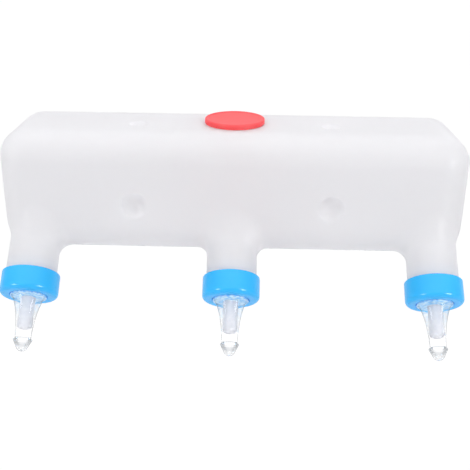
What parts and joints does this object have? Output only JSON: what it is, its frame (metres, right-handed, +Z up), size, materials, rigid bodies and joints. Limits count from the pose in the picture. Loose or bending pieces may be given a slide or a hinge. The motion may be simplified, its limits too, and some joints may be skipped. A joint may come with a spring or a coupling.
{
  "type": "multi teat lamb feeder",
  "caption": "Hanging lamb feeder: a long milky plastic milk tank with a push-in red filler lid and sloping screw necks, each with a clear silicone teat held by a blue ring cap.",
  "frame": {"origin": "centre of the tank's flat back face, which goes against a fence or wall", "axes": "+X along the tank, +Y out of the back face, +Z up; the teats slope towards -Y and -Z"},
  "size_m": [0.36, 0.1518, 0.1558],
  "materials": {
    "tank_plastic": "milky translucent polyethylene, satin",
    "lid_plastic": "soft moulded plastic, satin",
    "cap_plastic": "moulded plastic, glossy",
    "teat_silicone": "clear glossy silicone with a matt bore"
  },
  "bodies": {
    "tank": {"tank": "tank_plastic"},
    "lid": {"filler_lid": "lid_plastic"},
    "teat_left": {"teat_left": "teat_silicone"},
    "cap_left": {"cap_left": "cap_plastic"},
    "teat_middle": {"teat_middle": "teat_silicone"},
    "cap_middle": {"cap_middle": "cap_plastic"},
    "teat_right": {"teat_right": "teat_silicone"},
    "cap_right": {"cap_right": "cap_plastic"}
  },
  "joints": [
    {"name": "lid_pull", "type": "slide", "parent": "tank", "child": "lid", "axis": [0, 0, 1], "range_m": [0, 0.04]},
    {"name": "teat_left_travel", "type": "slide", "parent": "tank", "child": "teat_left", "axis": [0, -0.7071, -0.7071], "range_m": [0, 0.0141]},
    {"name": "cap_left_turn", "type": "hinge", "parent": "teat_left", "child": "cap_left", "pos_m": [-0.155, -0.11684, -0.06934], "axis": [0, -0.7071, -0.7071], "range_deg": [0, 1260]},
    {"name": "teat_middle_travel", "type": "slide", "parent": "tank", "child": "teat_middle", "axis": [0, -0.7071, -0.7071], "range_m": [0, 0.0141]},
    {"name": "cap_middle_turn", "type": "hinge", "parent": "teat_middle", "child": "cap_middle", "pos_m": [0, -0.11684, -0.06934], "axis": [0, -0.7071, -0.7071], "range_deg": [0, 1260]},
    {"name": "teat_right_travel", "type": "slide", "parent": "tank", "child": "teat_right", "axis": [0, -0.7071, -0.7071], "range_m": [0, 0.0141]},
    {"name": "cap_right_turn", "type": "hinge", "parent": "teat_right", "child": "cap_right", "pos_m": [0.155, -0.11684, -0.06934], "axis": [0, -0.7071, -0.7071], "range_deg": [0, 1260]}
  ],
  "couplings": [
    {"joint": "teat_left_travel", "follows": "cap_left_turn", "m_per_rad": 0.00063662},
    {"joint": "teat_middle_travel", "follows": "cap_middle_turn", "m_per_rad": 0.00063662},
    {"joint": "teat_right_travel", "follows": "cap_right_turn", "m_per_rad": 0.00063662}
  ]
}
